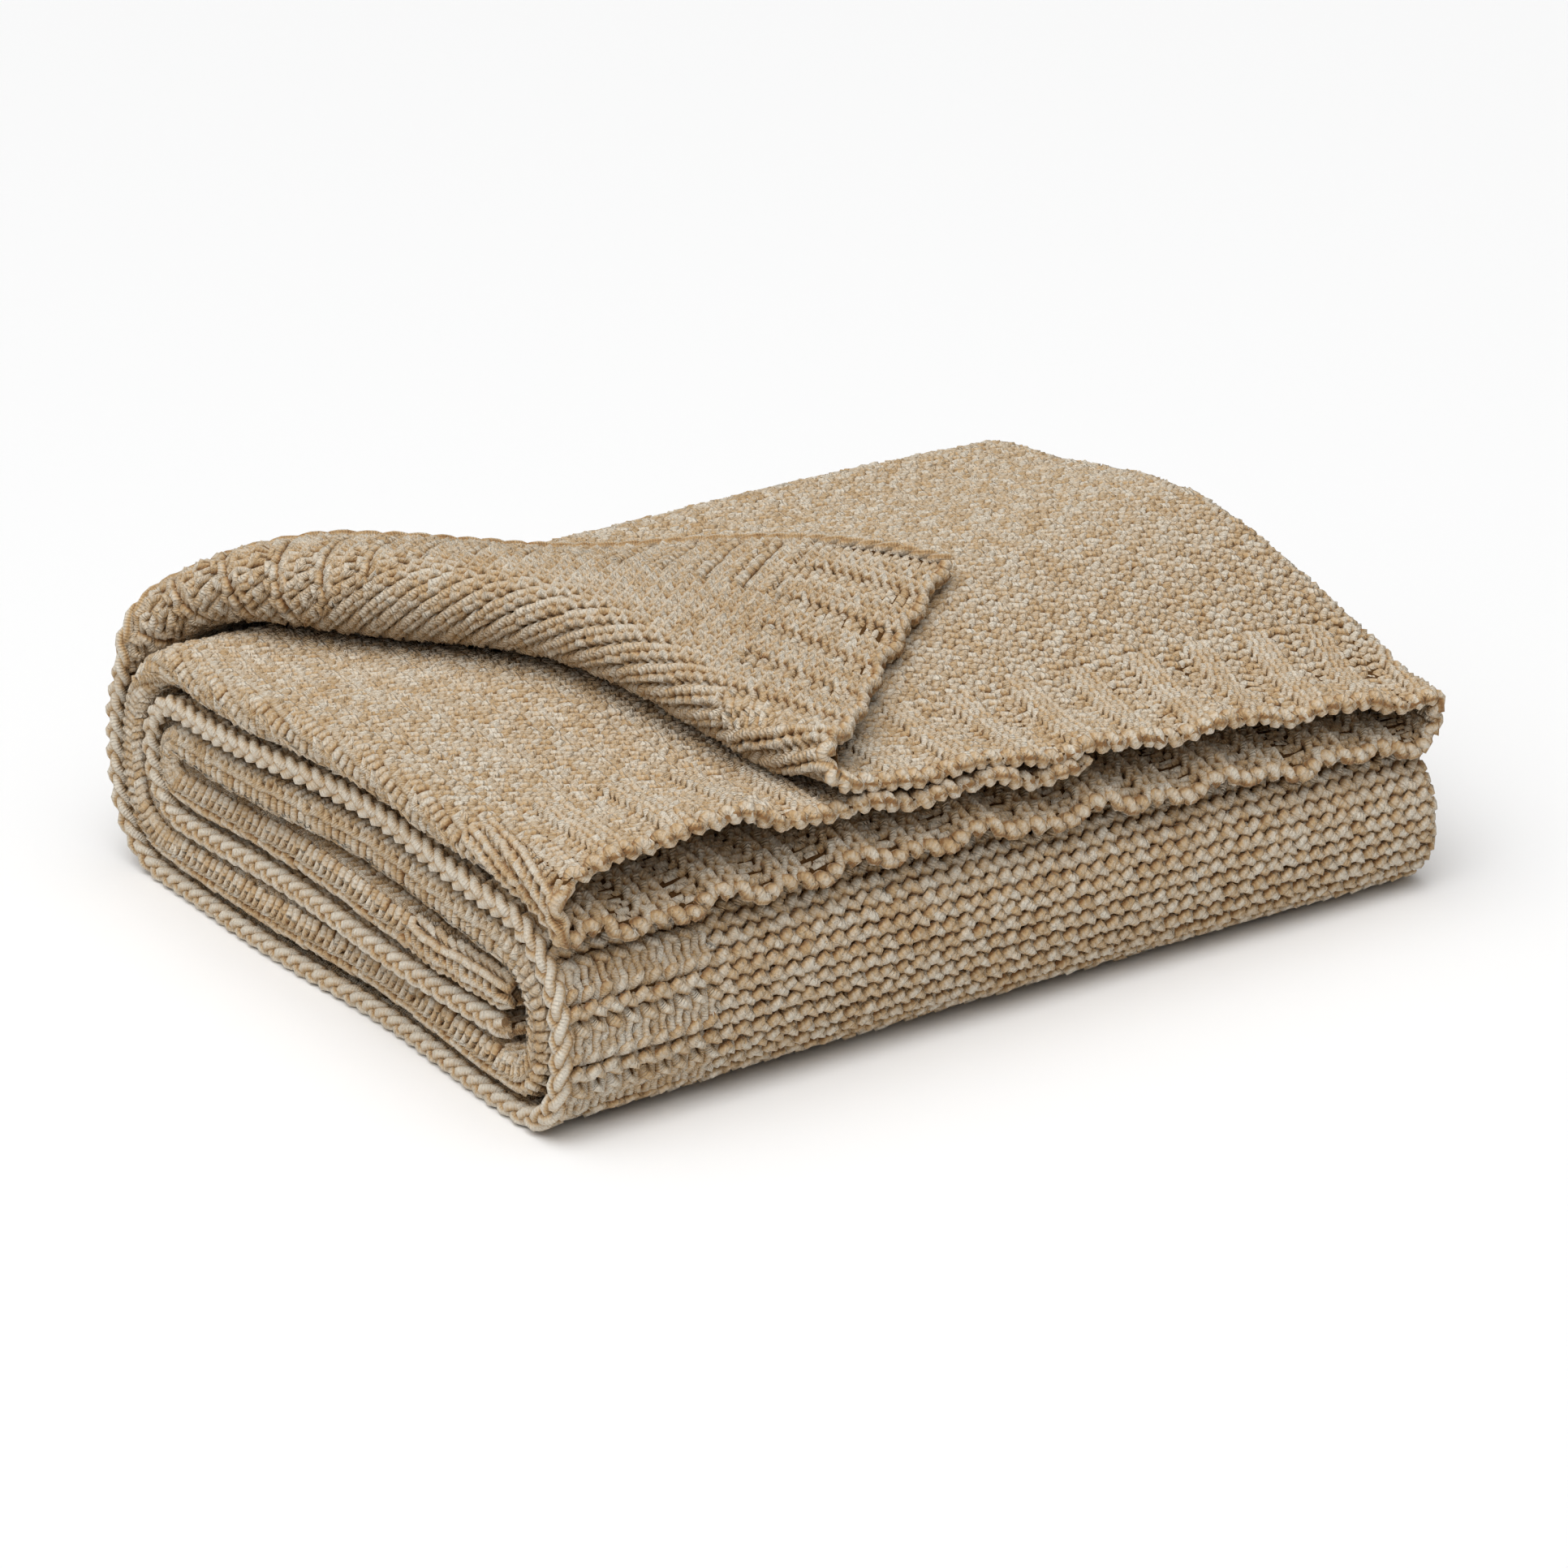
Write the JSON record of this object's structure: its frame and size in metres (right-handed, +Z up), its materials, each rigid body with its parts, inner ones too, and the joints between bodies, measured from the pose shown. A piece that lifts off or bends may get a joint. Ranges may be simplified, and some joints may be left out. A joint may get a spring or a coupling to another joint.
{
  "type": "throw blanket",
  "caption": "Chunky chenille knitted throw with ribbed borders, folded into a low pile with its front corner turned back; it lies flat on a bed, sofa or shelf.",
  "frame": {"origin": "middle of the folded throw's footprint, on the surface it lies on", "axes": "+X to the right along the front edge with the open hems, +Y towards the back fold, +Z up"},
  "size_m": [0.4852, 0.3788, 0.1649],
  "materials": {
    "chenille yarn": "matt heathered sand coloured chenille yarn, soft pile, knitted"
  },
  "bodies": {
    "root": {"throw": "chenille yarn"}
  },
  "joints": []
}
